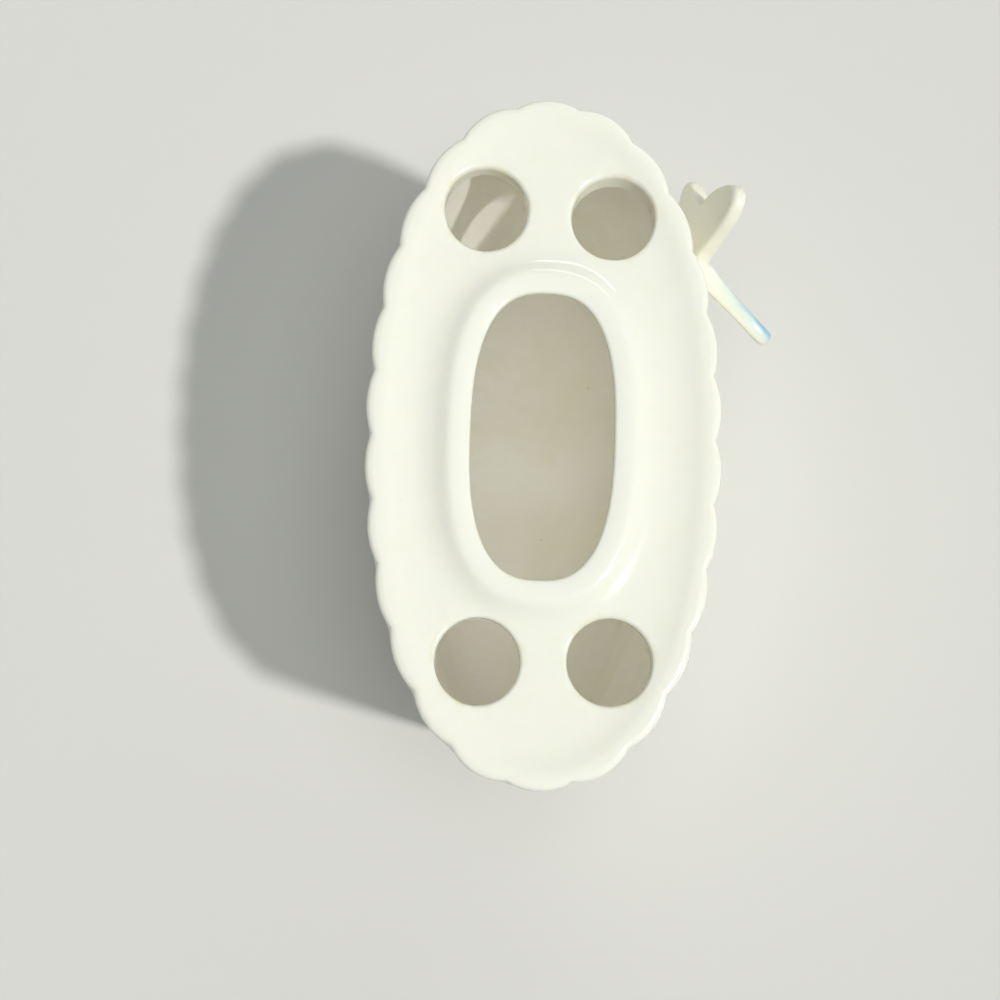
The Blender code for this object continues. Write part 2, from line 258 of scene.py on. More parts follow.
class Field:
    """A shader socket that takes part in ordinary sums."""

    def __init__(self, tree, socket):
        self.tree = tree
        self.socket = socket

    def node(self, kind, settings=None, inputs=None, output=0):
        """Any node: its settings, then the values or links of its sockets."""
        made = self.tree.nodes.new(kind)
        for key, value in (settings or {}).items():
            setattr(made, key, value)
        for key, value in (inputs or {}).items():
            if isinstance(value, Field):
                self.tree.links.new(value.socket, made.inputs[key])
            else:
                made.inputs[key].default_value = value
        return Field(self.tree, made.outputs[output])

    def math(self, operation, *values):
        return self.node("ShaderNodeMath", {"operation": operation}, dict(enumerate(values)))

    def __add__(self, other):
        return self.math("ADD", self, other)

    def __radd__(self, other):
        return self.math("ADD", other, self)

    def __rsub__(self, other):
        return self.math("SUBTRACT", other, self)

    def __mul__(self, other):
        return self.math("MULTIPLY", self, other)

    def __rmul__(self, other):
        return self.math("MULTIPLY", other, self)

    def clamp(self):
        return self.node("ShaderNodeClamp", inputs={0: self})

    def smooth(self, low, high):
        """0 below low, 1 above high, and an easy step between."""
        settings = {"interpolation_type": "SMOOTHSTEP"}
        return self.node("ShaderNodeMapRange", settings, {0: self, 1: low, 2: high})

    def mix(self, first, second):
        """Colour from first, where this is 0, to second, where it is 1."""
        settings = {"data_type": "RGBA"}
        return self.node("ShaderNodeMix", settings, {0: self, 6: first, 7: second}, output=2)

    def part(self, index):
        return self.node("ShaderNodeSeparateXYZ", inputs={0: self}, output=index)


def new_glaze(name):
    """Material with its shader, and the place on the piece as a field."""
    material = bpy.data.materials.new(name)
    material.use_nodes = True
    tree = material.node_tree
    shader = tree.nodes["Principled BSDF"]
    place = Field(tree, tree.nodes.new("ShaderNodeTexCoord").outputs["Object"])
    return material, tree, shader, place


def noise(place, scale, detail=3.0, roughness=0.5):
    """Cloudy noise, with its scale in waves to the metre."""
    settings = {"noise_dimensions": "3D"}
    return place.node("ShaderNodeTexNoise", settings,
                      {"Vector": place, "Scale": scale, "Detail": detail, "Roughness": roughness})


def attribute(place, name):
    """Value that is stored on the points of the mesh."""
    return place.node("ShaderNodeAttribute", {"attribute_name": name}, output=2)


def rgb(red, green, blue):
    """Colour as the photograph's light shows it, 0 to 255, made linear."""
    def linear(value):
        share = value / 255
        return share / 12.92 if share <= 0.04045 else ((share + 0.055) / 1.055) ** 2.4
    return (linear(red), linear(green), linear(blue), 1.0)


def finish_gloss(tree, shader, colour, roughness, height, depth, coat):
    """What every glaze shares: a clear gloss over a faintly rippled body."""
    tree.links.new(colour.socket, shader.inputs["Base Color"])
    tree.links.new(roughness.socket, shader.inputs["Roughness"])
    bump = colour.node("ShaderNodeBump", None,
                       {"Strength": 1.0, "Distance": depth, "Height": height})
    tree.links.new(bump.socket, shader.inputs["Normal"])
    settings = {
        "IOR": GLASS_IOR, "Subsurface Weight": BODY_GLOW, "Subsurface Radius": GLOW_RADIUS,
        "Subsurface Scale": GLOW_SCALE, "Coat Weight": coat, "Coat Roughness": COAT_ROUGHNESS,
        "Coat IOR": GLASS_IOR,
    }
    for name, value in settings.items():
        shader.inputs[name].default_value = value


def outside_colour(place, mottle):
    """Ivory, lightly clouded and mottled, and whiter on the collar, as painted light where the
    collar catches the lamp.
    """
    cloud = noise(place, scale=22.0, detail=2.0)
    ivory = cloud.smooth(0.36, 0.66).mix(rgb(*IVORY[0]), rgb(*IVORY[1]))
    mottled = (mottle.smooth(0.45, 0.75) * 0.25).mix(ivory, rgb(*IVORY_MOTTLE))
    # Painted light: the collar is mixed towards a whiter colour
    return (attribute(place, "collar_painted_light") * 0.8).mix(mottled, rgb(*COLLAR_LIGHT_COLOUR))


def chamber_colour(place):
    """Aged glaze, with pale streaks painted on the side away from the butterfly: painted light and
    painted reflections, where light falls in through the opening.
    """
    ageing = noise(place, scale=40.0, detail=4.0, roughness=0.6).smooth(0.38, 0.66)
    aged = ageing.mix(rgb(*AGED_GLAZE[0]), rgb(*AGED_GLAZE[1]))
    drawn_out = place.node("ShaderNodeMapping", None, {"Vector": place, "Scale": (1.0, 2.4, 1.0)})
    light_streak = noise(drawn_out, scale=52.0, detail=5.0, roughness=0.62).smooth(0.46, 0.62)
    # Painted light and painted reflections: the chamber's side away from the butterfly is mixed
    # towards white in streaks
    lit_side = 1.0 - place.part(0).smooth(-0.014, 0.005)
    return (lit_side * (0.15 + 0.85 * light_streak)).mix(aged, rgb(*CHAMBER_PAINTED_LIGHT))


def speck_mask(place):
    """A few small specks, in the rare spots where iron has burnt through."""
    cells = place.node("ShaderNodeTexVoronoi", {"feature": "F1"}, {"Vector": place, "Scale": 75.0})
    rare = noise(place, scale=34.0, detail=1.0).smooth(0.63, 0.69)
    return (1.0 - cells.smooth(0.014, 0.034)) * rare


def vessel_glaze():
    """Ivory porcelain under clear glaze: warm where the glaze runs thin, bare under the foot."""
    material, tree, shader, place = new_glaze("ivory_glazed_porcelain")
    chamber = attribute(place, "chamber")
    bare = 1.0 - place.part(2).smooth(0.0006, 0.0011)
    mottle = noise(place, scale=190.0, detail=4.0, roughness=0.6)
    used = chamber * (0.8 + 0.2 * noise(place, scale=30.0, detail=2.0))
    body = used.mix(outside_colour(place, mottle), chamber_colour(place))
    edge = attribute(place, "thin_glaze") * noise(place, scale=210.0, detail=2.0).smooth(0.42, 0.62)
    warmed = (edge * 0.42).clamp().mix(body, rgb(*THIN_GLAZE))
    spotted = (speck_mask(place) * 0.55).mix(warmed, rgb(*SPECK))
    colour = bare.mix(spotted, rgb(*BARE_BODY))
    smear = noise(place, scale=65.0, detail=3.0).smooth(0.40, 0.70)
    roughness = 0.10 + mottle * 0.06 + chamber * (0.20 + smear * 0.10) + bare * 0.55
    ripple = noise(place, scale=120.0, detail=2.0)
    ripple = ripple + chamber * noise(place, scale=48.0, detail=1.0) * 1.5
    ripple = ripple + bare * noise(place, scale=2600.0, detail=3.0) * 0.35
    finish_gloss(tree, shader, colour, roughness, ripple, VESSEL_RIPPLE, VESSEL_COAT)
    clear = (1.0 - bare) * (1.0 - chamber * 0.7) * VESSEL_COAT
    tree.links.new(clear.socket, shader.inputs["Coat Weight"])
    return material


def butterfly_glaze():
    """A softer glaze, with a pale blue wash on the faces that look away from the wall, which on the
    lower wing's lit margin is partly painted shade.
    """
    material, tree, shader, place = new_glaze("blue_washed_porcelain")
    wash = attribute(place, "blue_wash_and_shade")
    mottle = noise(place, scale=260.0, detail=4.0, roughness=0.6)
    ivory = (mottle.smooth(0.4, 0.7) * 0.3).mix(rgb(*WING_IVORY[0]), rgb(*WING_IVORY[1]))
    uneven = (wash * (0.75 + 0.5 * noise(place, scale=300.0, detail=3.0))).clamp()
    sky = (wash * wash).mix(rgb(*WING_SKY[0]), rgb(*WING_SKY[1]))
    colour = uneven.mix(ivory, sky)
    roughness = 0.32 + mottle * 0.06
    ripple = noise(place, scale=240.0, detail=2.0)
    finish_gloss(tree, shader, colour, roughness, ripple, WING_RIPPLE, WING_COAT)
    return material


def oval_points(half_width, half_length, power, count):
    """Points round a superellipse, an equal length apart."""
    turn = np.linspace(0.0, 2 * math.pi, OVAL_SAMPLES)
    across = np.sign(np.cos(turn)) * np.abs(np.cos(turn)) ** (2 / power) * half_width
    along = np.sign(np.sin(turn)) * np.abs(np.sin(turn)) ** (2 / power) * half_length
    travelled = np.concatenate(([0.0], np.cumsum(np.hypot(np.diff(across), np.diff(along)))))
    wanted = np.arange(count) * travelled[-1] / count
    return np.stack([np.interp(wanted, travelled, values) for values in (across, along)], axis=1)


def opening_points(count):
    """Points round the paste opening, in its own turned place."""
    flat = oval_points(*OPENING_OVAL, count)
    cosine, sine = math.cos(OPENING_TURN), math.sin(OPENING_TURN)
    return flat @ np.array(((cosine, sine), (-sine, cosine))) + np.array(OPENING_ASIDE)


def section_curve(name, points):
    """Section to be carried round an oval: outward, height and lobe rise of each point."""
    curve = bpy.data.curves.new(name, "CURVE")
    curve.dimensions = "3D"
    spline = curve.splines.new("POLY")
    spline.points.add(len(points) - 1)
    for point, (outward, height, rise) in zip(spline.points, points):
        point.co = (outward, height, rise, 1.0)
    section = bpy.data.objects.new(name, curve)
    bpy.context.scene.collection.objects.link(section)
    return section


def smooth_span(before, start, end, after, steps):
    """Points of a smooth curve from start to end, as the points beyond them bend it."""
    return [0.5 * (2 * start + (end - before) * share
                   + (2 * before - 5 * start + 4 * end - after) * share ** 2
                   + (3 * start - before - 3 * end + after) * share ** 3)
            for share in np.arange(steps) / steps]


def eased(points, steps=CURVE_STEPS):
    """Smooth run through a few section points."""
    points = np.array(points)
    padded = np.vstack((2 * points[0] - points[1], points, 2 * points[-1] - points[-2]))
    run = []
    for before, start, end, after in zip(padded, padded[1:], padded[2:], padded[3:]):
        run += smooth_span(before, start, end, after, steps)
    run.append(points[-1])
    return [tuple(point) for point in run]


class Tree:
    """Short hand for a geometry tree."""

    def __init__(self, name):
        self.tree = bpy.data.node_groups.new(name, "GeometryNodeTree")
        self.ids = {}

    def take(self, name, kind):
        socket = self.tree.interface.new_socket(name=name, in_out="INPUT", socket_type=kind)
        self.ids[name] = socket.identifier

    def add(self, kind, settings=None, inputs=None):
        made = self.tree.nodes.new(kind)
        for key, value in (settings or {}).items():
            setattr(made, key, value)
        for key, value in (inputs or {}).items():
            if isinstance(value, bpy.types.NodeSocket):
                self.tree.links.new(value, made.inputs[key])
            else:
                made.inputs[key].default_value = value
        return made

    def math(self, operation, *values):
        made = self.add("ShaderNodeMath", {"operation": operation}, dict(enumerate(values)))
        return made.outputs[0]

    def vector(self, operation, *values):
        made = self.add("ShaderNodeVectorMath", {"operation": operation}, dict(enumerate(values)))
        return made.outputs[0]


SWEEP_INPUTS = {
    "Half width": "NodeSocketFloat", "Half length": "NodeSocketFloat", "Power": "NodeSocketFloat",
    "Lobes": "NodeSocketInt", "Columns": "NodeSocketInt", "Rows": "NodeSocketInt",
    "Section": "NodeSocketObject", "Glaze": "NodeSocketMaterial",
}


def sweep_tree():
    """Carries a section round an oval of equal steps, with lobes that rise from it."""
    t = Tree("section_round_oval")
    for name, kind in SWEEP_INPUTS.items():
        t.take(name, kind)
    t.tree.interface.new_socket(name="Mesh", in_out="OUTPUT", socket_type="NodeSocketGeometry")
    given = t.add("NodeGroupInput").outputs
    circle = t.add("GeometryNodeCurvePrimitiveCircle", {"mode": "RADIUS"},
                   {"Resolution": OUTLINE_POINTS, "Radius": 1.0})
    spot = t.add("ShaderNodeSeparateXYZ", None, {0: t.add("GeometryNodeInputPosition").outputs[0]})
    bend = t.math("DIVIDE", 2.0, given["Power"])

    def squared_off(value, half):
        grown = t.math("POWER", t.math("ABSOLUTE", value), bend)
        return t.math("MULTIPLY", t.math("MULTIPLY", grown, t.math("SIGN", value)), half)

    across = squared_off(spot.outputs[0], given["Half width"])
    along = squared_off(spot.outputs[1], given["Half length"])
    oval_place = t.add("ShaderNodeCombineXYZ", None, {0: across, 1: along}).outputs[0]
    outline = t.add("GeometryNodeSetPosition", None,
                    {"Geometry": circle.outputs["Curve"], "Position": oval_place}).outputs[0]
    columns = t.math("ADD", given["Columns"], 1.0)
    grid = t.add("GeometryNodeMeshGrid", None,
                 {"Size X": 1.0, "Size Y": 1.0, "Vertices X": columns, "Vertices Y": given["Rows"]})
    index = t.add("GeometryNodeInputIndex").outputs[0]
    column = t.math("FLOOR", t.math("DIVIDE", t.math("ADD", index, 0.5), given["Rows"]))
    row = t.math("SUBTRACT", index, t.math("MULTIPLY", column, given["Rows"]))
    round_share = t.math("DIVIDE", column, given["Columns"])
    section_share = t.math("DIVIDE", row, t.math("SUBTRACT", given["Rows"], 1.0))
    on_outline = t.add("GeometryNodeSampleCurve", {"mode": "FACTOR"},
                       {"Curves": outline, "Factor": round_share})
    heading = t.add("ShaderNodeSeparateXYZ", None, {0: on_outline.outputs["Tangent"]})
    turned_back = t.math("MULTIPLY", heading.outputs[0], -1.0)
    outward = t.add("ShaderNodeCombineXYZ", None,
                    {0: heading.outputs[1], 1: turned_back}).outputs[0]
    section = t.add("GeometryNodeObjectInfo", None, {"Object": given["Section"]})
    on_section = t.add("GeometryNodeSampleCurve", {"mode": "FACTOR"},
                       {"Curves": section.outputs["Geometry"], "Factor": section_share})
    figures = t.add("ShaderNodeSeparateXYZ", None, {0: on_section.outputs["Position"]})
    in_lobe = t.math("FRACT", t.math("MULTIPLY", round_share, given["Lobes"]))
    from_middle = t.math("SUBTRACT", t.math("MULTIPLY", in_lobe, 2.0), 1.0)
    lobe = t.math("SUBTRACT", 1.0, t.math("MULTIPLY", from_middle, from_middle))
    reach = t.math("ADD", figures.outputs[0], t.math("MULTIPLY", figures.outputs[2], lobe))
    pushed = t.add("ShaderNodeVectorMath", {"operation": "SCALE"},
                   {0: outward, "Scale": reach}).outputs[0]
    raised = t.add("ShaderNodeCombineXYZ", None, {2: figures.outputs[1]}).outputs[0]
    place = t.vector("ADD", t.vector("ADD", on_outline.outputs["Position"], pushed), raised)
    placed = t.add("GeometryNodeSetPosition", None,
                   {"Geometry": grid.outputs["Mesh"], "Position": place})
    closed = t.add("GeometryNodeMergeByDistance", None,
                   {"Geometry": placed.outputs[0], "Distance": SEAM})
    real = t.add("GeometryNodeRealizeInstances", None, {0: closed.outputs[0]})
    glazed = t.add("GeometryNodeSetMaterial", None,
                   {"Geometry": real.outputs[0], "Material": given["Glaze"]})
    t.add("NodeGroupOutput", None, {0: glazed.outputs[0]})
    return t


def sweep(tree, name, oval, lobes, columns, rows, section_points, material):
    """Mesh of one section carried round one oval."""
    half_width, half_length, power = oval
    section = section_curve(name + "_section", section_points)
    holder = bpy.data.objects.new(name, bpy.data.meshes.new(name))
    bpy.context.scene.collection.objects.link(holder)
    modifier = holder.modifiers.new("sweep", "NODES")
    modifier.node_group = tree.tree
    values = (half_width, half_length, power, lobes, columns, rows, section, material)
    for key, value in zip(SWEEP_INPUTS, values):
        modifier[tree.ids[key]] = value
    bpy.context.view_layer.update()
    evaluated = holder.evaluated_get(bpy.context.evaluated_depsgraph_get())
    mesh = bpy.data.meshes.new_from_object(evaluated)
    bpy.data.objects.remove(holder, do_unlink=True)
    bpy.data.objects.remove(section, do_unlink=True)
    return mesh


def eased_drop(peak, hold, tail):
    """Table of a drop from 1 to 0 that steepens quickly to its peak and runs out gently."""
    share = np.linspace(0.0, 1.0, TABLE_SAMPLES)
    rising = np.sin(np.minimum(share / peak, 1.0) * math.pi / 2) ** 1.3
    falling = np.clip((1 - share) / (1 - hold), 0.0, 1.0) ** tail
    slope = np.where(share < peak, rising, falling)
    travelled = np.concatenate(([0.0], np.cumsum((slope[1:] + slope[:-1]) / 2)))
    return share, 1 - travelled / travelled[-1]


DISH_TABLE = eased_drop(0.26, 0.26, 1.6)
COLLAR_TABLE = eased_drop(0.15, 0.26, 1.7)


def lobe_share(inset):
    """How much of the scallop is left, a distance inside the rim."""
    return math.exp(-(inset / LOBE_FADE) ** 2)


def dish_height(inset):
    """Height of the glaze inside the lip's crest."""
    return DECK + DISH_DEPTH * float(np.interp((inset - LIP_CREST) / DISH_WIDTH, *DISH_TABLE))


def collar_height(offset):
    """What the collar adds to the deck, a distance outside the opening."""
    if offset <= COLLAR_CREST:
        return COLLAR_RISE - COLLAR_INNER_DROP * ((COLLAR_CREST - offset) / COLLAR_CREST) ** 2
    return COLLAR_RISE * float(np.interp((offset - COLLAR_CREST) / COLLAR_FLANK, *COLLAR_TABLE))


def wall_draw_in(height):
    """How far the wall stands in from the rim's oval, as the vessel tapers to its foot."""
    return FOOT_DRAW_IN * (max(WALL_TOP - height, 0.0) / WALL_TOP) ** WALL_CURVE


def flute_rise(height):
    """How far the wall's flutes rise, softer towards the foot."""
    return FLUTE_RISE * (FLUTE_FOOT_SHARE + (1 - FLUTE_FOOT_SHARE) * min(height / WALL_TOP, 1.0))


def foot_section():
    """Quarter round from the flat foot up to the wall."""
    points = []
    for angle in np.linspace(0, math.pi / 2, ROUND_STEPS):
        height = FOOT_ROUND * (1 - math.cos(angle))
        pull = FOOT_ROUND * (1 - math.sin(angle))
        points.append((WALL_PROUD - wall_draw_in(height) - pull, height, flute_rise(height)))
    return points


def wall_section():
    """The tapering, fluted wall from the foot up to the lip."""
    heights = np.linspace(FOOT_ROUND, RIM - LIP_DROP - LIP_UNDERCUT, ROWS["wall"])
    return [(WALL_PROUD - wall_draw_in(z), z, flute_rise(z)) for z in heights]


def lip_section():
    """From the wall, round the undercut and the rolled edge, over the crest to the dish."""
    equator = RIM - LIP_DROP
    below = equator - LIP_UNDERCUT
    roll = [
        (WALL_PROUD, below, flute_rise(below)),
        (WALL_PROUD - 0.00010, below + 0.0007, 0.00060),
        (-0.00022, equator - 0.00105, 0.00090),
        (-0.00005, equator - 0.00045, LOBE_RISE),
        (0.0, equator, LOBE_RISE),
        (-0.00005, equator + 0.00055, LOBE_RISE),
        (-0.00023, equator + 0.00110, LOBE_RISE * lobe_share(0.0002)),
        (-0.00060, equator + 0.00157, LOBE_RISE * lobe_share(0.0006)),
        (-LIP_CREST, RIM, LOBE_RISE * lobe_share(LIP_CREST)),
    ]
    inside = [(-inset, dish_height(inset), LOBE_RISE * lobe_share(inset))
              for inset in np.linspace(LIP_CREST, LIP_JOIN, CREST_STEPS)[1:]]
    return eased(roll + inside)


def collar_section():
    """From the collar's crest over its inner edge, down the short throat and under its flare."""
    top = [(offset, DECK + collar_height(offset), 0.0)
           for offset in np.linspace(COLLAR_JOIN, OPENING_EDGE, CREST_STEPS)]
    edge_height = top[-1][1]
    throat = DECK + 0.0002
    turn = [
        (OPENING_EDGE, edge_height, 0.0),
        (OPENING_EDGE * 0.42, edge_height - 0.00020, 0.0),
        (OPENING_EDGE * 0.10, edge_height - 0.00046, 0.0),
        (0.0, edge_height - 0.0008, 0.0),
        (0.00012, throat, 0.0),
        (THROAT_FLARE * 0.35, throat - 0.0014, 0.0),
        (THROAT_FLARE * 0.85, DECK_UNDER + 0.0006, 0.0),
        (THROAT_MOUTH, DECK_UNDER, 0.0),
    ]
    return top + eased(turn)[1:]


def hole_section(edge):
    """Rounded edge of a brush hole, and its bore down to the underside."""
    points = []
    for angle in np.linspace(0, math.pi / 2, ROUND_STEPS):
        points.append((edge * (1 - math.sin(angle)), -edge * (1 - math.cos(angle)), 0.0))
    bore = DECK_UNDER - DECK
    points += [(0.0, bore * 0.6, 0.0), (0.0, bore + 0.0006, 0.0)]
    points += [(HOLE_UNDER_FLARE * 0.3, bore + 0.00015, 0.0), (HOLE_UNDER_FLARE, bore, 0.0)]
    return points


def chamber_section():
    """Inside of the wall from the deck's underside down and round to the floor."""
    levels = np.linspace(DECK_UNDER, FLOOR + FLOOR_FILLET, CHAMBER_LEVELS)
    points = [(WALL_PROUD - wall_draw_in(z) - WALL, z, 0.0) for z in levels]
    last = points[-1][0]
    for angle in np.linspace(0, math.pi / 2, FILLET_STEPS)[1:]:
        points.append((last - FLOOR_FILLET * (1 - math.cos(angle)),
                       FLOOR + FLOOR_FILLET * (1 - math.sin(angle)), 0.0))
    return points


def ring_normals(ring):
    """Outward normals of a closed ring of points."""
    steps = np.roll(ring, -1, axis=0) - np.roll(ring, 1, axis=0)
    normals = np.stack((steps[:, 1], -steps[:, 0]), axis=1)
    return normals / np.linalg.norm(normals, axis=1, keepdims=True)


def lobe_at(index, count):
    """Height of the lobe at one of count even places round the oval: 0 in a notch, 1 on a crest."""
    place = (index / count * LOBES) % 1.0 * 2 - 1
    return 1 - place ** 2


def boundary_ring(outline, outward, rise):
    """The flat ring in which a swept section ends, point for point."""
    lobes = lobe_at(np.arange(len(outline)), len(outline))
    return outline + ring_normals(outline) * (outward + rise * lobes)[:, None]


class OvalRuler:
    """Distance of any point from an oval, and the place in the lobe that it faces."""

    def __init__(self, points):
        self.points = points
        self.normals = ring_normals(points)

    def measure(self, spots):
        """Outward distances, and the lobe's height that each spot faces."""
        outward = np.empty(len(spots))
        lobes = np.empty(len(spots))
        for start in range(0, len(spots), BATCH):
            some = spots[start:start + BATCH]
            gaps = some[:, None, :] - self.points[None, :, :]
            nearest = np.argmin((gaps ** 2).sum(axis=2), axis=1)
            picked = gaps[np.arange(len(some)), nearest]
            outward[start:start + BATCH] = (picked * self.normals[nearest]).sum(axis=1)
            lobes[start:start + BATCH] = lobe_at(nearest, len(self.points))
        return outward, lobes


def deck_heights(spots, rim_ruler, opening_ruler):
    """Height of the glaze at each spot of the deck: the dish and the collar in it."""
    outward, lobes = rim_ruler.measure(spots)
    offset, _ = opening_ruler.measure(spots)
    heights = []
    for inset, lobe, out in zip(-outward, lobes, offset):
        along = inset
        for _ in range(LOBE_ROUNDS):
            along = inset + LOBE_RISE * lobe_share(along) * lobe
        heights.append(dish_height(along) + collar_height(out))
    return np.array(heights)


def hex_spots(step):
    """Even spread of spots over the whole deck."""
    rows = int(2 * HALF_LENGTH / (step * HEX_ROW)) + 2
    columns = int(2 * HALF_WIDTH / step) + 2
    return np.array([((i + 0.5 * (j % 2)) * step - HALF_WIDTH, j * step * HEX_ROW - HALF_LENGTH)
                     for j in range(rows) for i in range(columns)])


def away_from(spots, ring, least):
    """Spots that keep a distance from every point of a ring."""
    kept = np.ones(len(spots), dtype=bool)
    for start in range(0, len(spots), BATCH):
        gaps = spots[start:start + BATCH, None, :] - ring[None, :, :]
        kept[start:start + BATCH] = (gaps ** 2).sum(axis=2).min(axis=1) > least ** 2
    return kept


def plate(outer, inner, holes, step):
    """Flat sheet of near-even triangles between an outer ring, an inner ring and round holes."""
    spots = hex_spots(step)
    keep = inside_ring(spots, outer) & ~inside_ring(spots, inner)
    clear = step * CLEAR_OF_RING
    keep &= away_from(spots, outer, clear) & away_from(spots, inner, clear)
    for hole in holes:
        centre = hole.mean(axis=0)
        reach = np.linalg.norm(hole[0] - centre)
        keep &= np.linalg.norm(spots - centre, axis=1) > reach + step * CLEAR_OF_HOLE
    loops = [outer, inner] + list(holes)
    points = np.vstack(loops + [spots[keep]])
    edges = []
    start = 0
    for ring in loops:
        count = len(ring)
        edges += [(start + i, start + (i + 1) % count) for i in range(count)]
        start += count
    found = delaunay_2d_cdt([Vector(p) for p in points], edges, [], 0, SAME_SPOT)
    verts = np.array([(v.x, v.y) for v in found[0]])
    faces = np.array([list(face) for face in found[2]])
    middles = verts[faces].mean(axis=1)
    good = inside_ring(middles, outer) & ~inside_ring(middles, inner)
    for hole in holes:
        good &= ~inside_ring(middles, hole)
    return verts, faces[good]


def inside_ring(spots, ring):
    """Whether each spot lies inside a closed ring."""
    after = np.roll(ring, -1, axis=0)
    inside = np.zeros(len(spots), dtype=bool)
    for (x0, y0), (x1, y1) in zip(ring, after):
        crosses = (y0 > spots[:, 1]) != (y1 > spots[:, 1])
        if y0 != y1:
            crossing = (x1 - x0) * (spots[:, 1] - y0) / (y1 - y0) + x0
            inside ^= crosses & (spots[:, 0] < crossing)
    return inside


def mesh_from(name, verts, faces):
    """Mesh of plain points and faces."""
    mesh = bpy.data.meshes.new(name)
    mesh.from_pydata([tuple(v) for v in verts], [], [tuple(int(i) for i in f) for f in faces])
    mesh.update()
    return mesh


def ring_faces(shape, first, second, flipped=False):
    """Faces between two rings of points."""
    for i in range(len(first)):
        j = (i + 1) % len(first)
        quad = (first[i], first[j], second[j], second[i])
        shape.faces.new(tuple(reversed(quad)) if flipped else quad)


def mesh_of(name, shape, outward=False):
    """Plain mesh of a shape, with its faces turned outwards where that is asked."""
    if outward:
        bmesh.ops.recalc_face_normals(shape, faces=shape.faces)
    mesh = bpy.data.meshes.new(name)
    shape.to_mesh(mesh)
    shape.free()
    return mesh


def join_and_weld(name, meshes):
    """One mesh from several whose edges meet, with outward faces."""
    shape = bmesh.new()
    for mesh in meshes:
        shape.from_mesh(mesh)
    bmesh.ops.remove_doubles(shape, verts=shape.verts, dist=WELD)
    open_edges = sum(1 for edge in shape.edges if len(edge.link_faces) != 2)
    print(name, "faces", len(shape.faces), "open edges", open_edges)
    mesh = mesh_of(name, shape, outward=True)
    mesh.shade_smooth()
    mesh.set_sharp_from_angle(angle=SHARP_ANGLE)
    return mesh


def hole_ring(centre, wider):
    """Ring of points round a hole, as the swept hole edge has them."""
    return boundary_ring(oval_points(*BORE_OVAL, HOLE_RING), wider, 0.0) + np.array(centre)


def deck_plates(rim_ruler, opening_ruler):
    """The deck's glazed top between lip, collar and holes, and its plain underside."""
    rim_line = oval_points(*RIM_OVAL, RING)
    opening_line = opening_points(OPENING_RING)
    outer = boundary_ring(rim_line, -LIP_JOIN, LOBE_RISE * lobe_share(LIP_JOIN))
    inner = boundary_ring(opening_line, COLLAR_JOIN, 0.0)
    rims = [hole_ring(centre, edge) for centre, edge in zip(HOLES, HOLE_EDGES)]
    verts, faces = plate(outer, inner, rims, DECK_STEP)
    top = np.column_stack((verts, deck_heights(verts, rim_ruler, opening_ruler)))
    chamber_line = oval_points(*RIM_OVAL, CHAMBER_RING)
    chamber = boundary_ring(chamber_line, chamber_section()[0][0], 0.0)
    throat = boundary_ring(opening_line, THROAT_MOUTH, 0.0)
    bores = [hole_ring(np.add(centre, lean), HOLE_UNDER_FLARE)
             for centre, lean in zip(HOLES, HOLE_LEANS)]
    low_verts, low_faces = plate(chamber, throat, bores, UNDERSIDE_STEP)
    under = np.column_stack((low_verts, np.full(len(low_verts), DECK_UNDER)))
    return mesh_from("deck_top", top, faces), mesh_from("deck_underside", under, low_faces)


def flat_disc(name, ring, height):
    """Flat floor or foot inside a ring, with a few rings of faces towards its middle."""
    shape = bmesh.new()
    rows = [[shape.verts.new((x * share, y * share, height)) for x, y in ring]
            for share in DISC_SHARES]
    for outer_row, inner_row in zip(rows, rows[1:]):
        ring_faces(shape, outer_row, inner_row)
    shape.faces.new(rows[-1])
    return mesh_of(name, shape)


def make_vessel(material):
    """The whole glazed pot in one skin: foot, wall, lip, deck, collar, holes and chamber."""
    tree = sweep_tree()
    rim_ruler = OvalRuler(oval_points(*RIM_OVAL, RULER_POINTS))
    opening_ruler = OvalRuler(opening_points(RULER_POINTS))
    pieces = [
        sweep(tree, "foot", RIM_OVAL, LOBES, RING, ROWS["foot"], foot_section(), material),
        sweep(tree, "wall", RIM_OVAL, LOBES, RING, ROWS["wall"], wall_section(), material),
        sweep(tree, "lip", RIM_OVAL, LOBES, RING, ROWS["lip"], lip_section(), material),
        sweep(tree, "chamber", RIM_OVAL, 0, CHAMBER_RING, ROWS["chamber"], chamber_section(),
              material),
    ]
    collar = sweep(tree, "collar", OPENING_OVAL, 0, OPENING_RING, ROWS["collar"],
                   collar_section(), material)
    turned = Matrix.Rotation(OPENING_TURN, 4, "Z")
    collar.transform(Matrix.Translation((*OPENING_ASIDE, 0.0)) @ turned)
    pieces.append(collar)
    for number, (centre, edge, lean) in enumerate(zip(HOLES, HOLE_EDGES, HOLE_LEANS), start=1):
        rim = hole_ring(centre, edge)
        heights = deck_heights(rim, rim_ruler, opening_ruler)
        bore = sweep(tree, f"brush_hole_{number}", BORE_OVAL, 0, HOLE_RING,
                     ROWS["brush_hole"], hole_section(edge), material)
        lift_hole_edge(bore, centre, lean, rim, heights)
        pieces.append(bore)
    top, under = deck_plates(rim_ruler, opening_ruler)
    rim_line = oval_points(*RIM_OVAL, RING)
    foot_points = foot_section()[0]
    floor_points = chamber_section()[-1]
    foot = flat_disc("foot_face", boundary_ring(rim_line, foot_points[0], foot_points[2]), 0.0)
    chamber_line = oval_points(*RIM_OVAL, CHAMBER_RING)
    floor = flat_disc("chamber_floor", boundary_ring(chamber_line, floor_points[0], 0.0), FLOOR)
    mesh = join_and_weld("porcelain_vessel", pieces + [top, under, foot, floor])
    mesh.materials.clear()
    mesh.materials.append(material)
    mark_glaze(mesh, opening_ruler)
    return new_piece("porcelain_vessel", mesh)


def vertex_places(mesh):
    """Places of all points of a mesh."""
    places = np.empty(len(mesh.vertices) * 3)
    mesh.vertices.foreach_get("co", places)
    return places.reshape(-1, 3)


